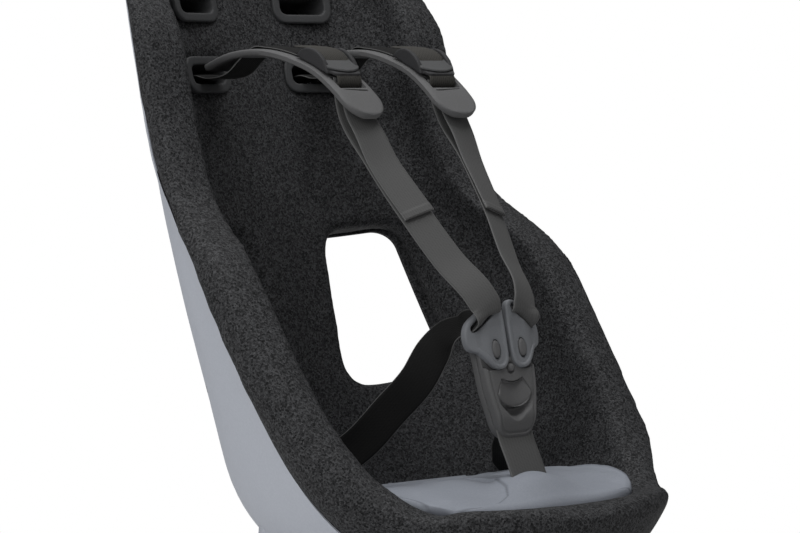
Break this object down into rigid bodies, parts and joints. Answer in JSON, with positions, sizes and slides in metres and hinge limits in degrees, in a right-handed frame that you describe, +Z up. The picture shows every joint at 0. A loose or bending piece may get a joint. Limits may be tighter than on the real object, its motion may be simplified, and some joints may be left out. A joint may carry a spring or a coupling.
{
  "type": "front-mounted child bike seat",
  "caption": "Front-mounted child bike seat: grey shell, dark foam bucket, soft seat pad, five-point harness with buckle, leg guards with sliding footrests and a stem clamp.",
  "frame": {"origin": "middle of the clamp bore, on the axis of the bicycle's stem", "axes": "+Z up along the stem, +Y to the rear of the seat, +X to the right-hand side as seen from the front; the child faces -Y"},
  "size_m": [0.3388, 0.5162, 0.6193],
  "materials": {
    "shell_plastic": "fine satin, moulded",
    "foam": "moulded foam with a fine pebbled skin",
    "pad_fabric": "soft moulded skin, satin",
    "grey_webbing": "woven polyester",
    "dark_webbing": "woven polyester",
    "pad_rubber": "smooth soft rubber",
    "grey_plastic": "satin moulded",
    "buckle_plastic": "satin moulded",
    "dark_plastic": "satin moulded",
    "black_steel": "powder coat",
    "steel": "zinc plated"
  },
  "bodies": {
    "seat": {"adjuster_left": "grey_plastic", "adjuster_right": "grey_plastic", "anchor_strap_left": "dark_webbing", "anchor_strap_right": "dark_webbing", "arm_bolts": "steel", "buckle_back": "buckle_plastic", "buckle_front": "buckle_plastic", "buckle_rivet": "buckle_plastic", "buckle_tongue_left": "grey_plastic", "buckle_tongue_right": "grey_plastic", "button_spring": "steel", "clamp_bolts": "steel", "clamp_front": "dark_plastic", "clamp_nuts": "steel", "clamp_rear": "dark_plastic", "crotch_keeper": "steel", "crotch_strap": "grey_webbing", "eyelet_lower_left": "grey_plastic", "eyelet_lower_right": "grey_plastic", "eyelet_upper_left": "grey_plastic", "eyelet_upper_right": "grey_plastic", "foam_liner": "foam", "guard_screws_left": "steel", "guard_screws_right": "steel", "lap_keeper_left": "steel", "lap_keeper_right": "steel", "lap_strap_left": "dark_webbing", "lap_strap_right": "dark_webbing", "leg_guard_left": "shell_plastic", "leg_guard_right": "shell_plastic", "lever_pin": "steel", "mount_arm": "black_steel", "outer_shell": "shell_plastic", "seat_pad": "pad_fabric", "shoulder_keeper_left": "steel", "shoulder_keeper_right": "steel", "shoulder_pad_left": "pad_rubber", "shoulder_pad_right": "pad_rubber", "shoulder_strap_left": "grey_webbing", "shoulder_strap_right": "grey_webbing", "strap_tail_left": "grey_webbing", "strap_tail_right": "grey_webbing", "tongue_stud_left": "buckle_plastic", "tongue_stud_right": "buckle_plastic"},
    "button": {"release_button": "buckle_plastic"},
    "lever": {"lock_lever": "grey_plastic"},
    "rest_left": {"footrest_left": "dark_plastic", "foot_strap_left": "pad_rubber", "foot_strap_studs_left": "dark_plastic"},
    "knob_left": {"footrest_knob_left": "dark_plastic"},
    "rest_right": {"footrest_right": "dark_plastic", "foot_strap_right": "pad_rubber", "foot_strap_studs_right": "dark_plastic"},
    "knob_right": {"footrest_knob_right": "dark_plastic"}
  },
  "joints": [
    {"name": "release_button", "type": "slide", "parent": "seat", "child": "button", "axis": [0, 0.9759, -0.2181], "range_m": [0, 0.0018], "stiffness_N_per_m": 900, "springref_m": -0.002, "deforming": ["button_spring"]},
    {"name": "lock_lever", "type": "hinge", "parent": "seat", "child": "lever", "pos_m": [0, 0.034, 0.034], "axis": [1, 0, 0], "range_deg": [0, 15]},
    {"name": "footrest_left", "type": "slide", "parent": "seat", "child": "rest_left", "axis": [0, 0, 1], "range_m": [-0.012, 0.072]},
    {"name": "footrest_knob_left", "type": "hinge", "parent": "rest_left", "child": "knob_left", "pos_m": [-0.121, 0.194, -0.072], "axis": [0, 1, 0], "continuous": true},
    {"name": "footrest_right", "type": "slide", "parent": "seat", "child": "rest_right", "axis": [0, 0, 1], "range_m": [-0.012, 0.072]},
    {"name": "footrest_knob_right", "type": "hinge", "parent": "rest_right", "child": "knob_right", "pos_m": [0.121, 0.194, -0.072], "axis": [0, 1, 0], "continuous": true}
  ]
}
